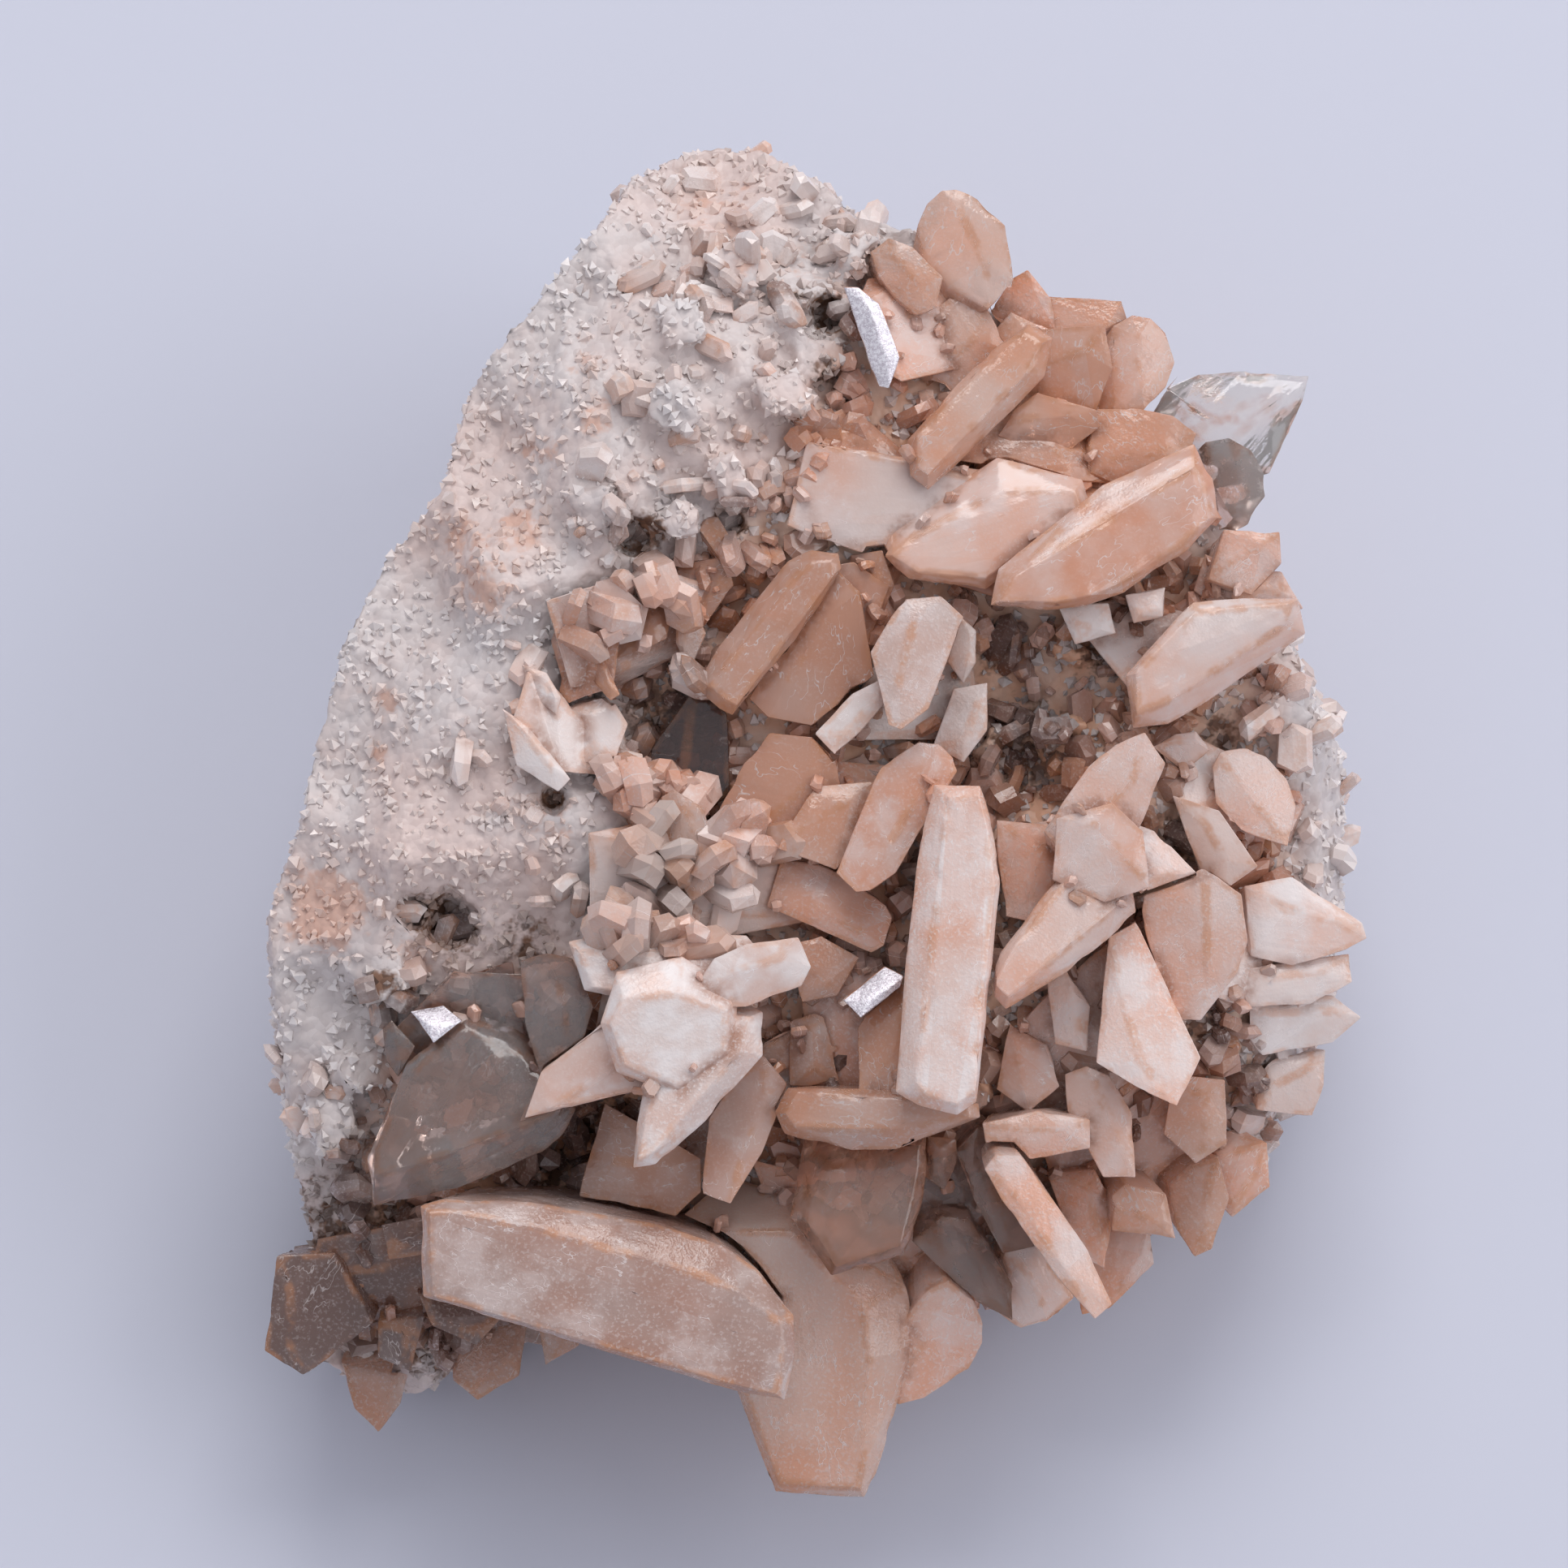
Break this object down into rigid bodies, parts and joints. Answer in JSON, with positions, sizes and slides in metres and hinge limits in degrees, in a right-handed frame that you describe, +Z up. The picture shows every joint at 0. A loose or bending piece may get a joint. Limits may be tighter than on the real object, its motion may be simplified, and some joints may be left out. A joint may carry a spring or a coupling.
{
  "type": "celestite crystal specimen",
  "caption": "Hand specimen of peach celestite: tabular blades in fused sprays on a sugary white matrix with a flat-cut base, to rest on a surface.",
  "frame": {"origin": "middle of the flat-cut base, under the middle of the bounding box", "axes": "+Z up; the crystal face leans back 20 degrees from level and faces +Z and -Y; +X to the right of someone looking at that face from -Y"},
  "size_m": [0.0684, 0.0834, 0.0378],
  "materials": {
    "granular_matrix": "sugary granular, sparkling, with orange-pink iron stains",
    "peach_celestite": "translucent peach crystal with milky veils and orange edges",
    "white_celestite": "frosted milky white crystal",
    "clear_celestite": "clear, slightly smoky crystal with orange rims"
  },
  "bodies": {
    "root": {"matrix": "granular_matrix", "central_prism": "peach_celestite", "bottom_slab": "peach_celestite", "white_burst": "white_celestite", "starfish": "peach_celestite", "smoky_plate": "clear_celestite", "clear_wedge": "clear_celestite", "frosted_prism": "white_celestite", "long_blade": "peach_celestite", "centre_fan": "peach_celestite", "left_centre_group": "peach_celestite", "horizontal_bar": "peach_celestite", "glassy_hexagon": "clear_celestite", "white_finger": "peach_celestite", "hexagonal_group": "peach_celestite", "right_blades": "peach_celestite", "milky_parallelogram": "peach_celestite", "upper_right_blocks": "peach_celestite", "striated_blade": "peach_celestite", "orange_fan": "peach_celestite", "right_wedge": "clear_celestite", "top_spray": "peach_celestite", "upper_edge_blades": "peach_celestite", "brown_blades": "peach_celestite", "white_rind_blades": "white_celestite", "grey_plates": "peach_celestite", "frayed_blade": "peach_celestite", "lower_right_group": "peach_celestite", "right_rim_burst": "white_celestite", "right_rim_block": "white_celestite", "lower_left_points": "peach_celestite", "lowest_point": "peach_celestite", "lower_edge_point": "peach_celestite", "lower_edge_block": "peach_celestite"}
  },
  "joints": []
}
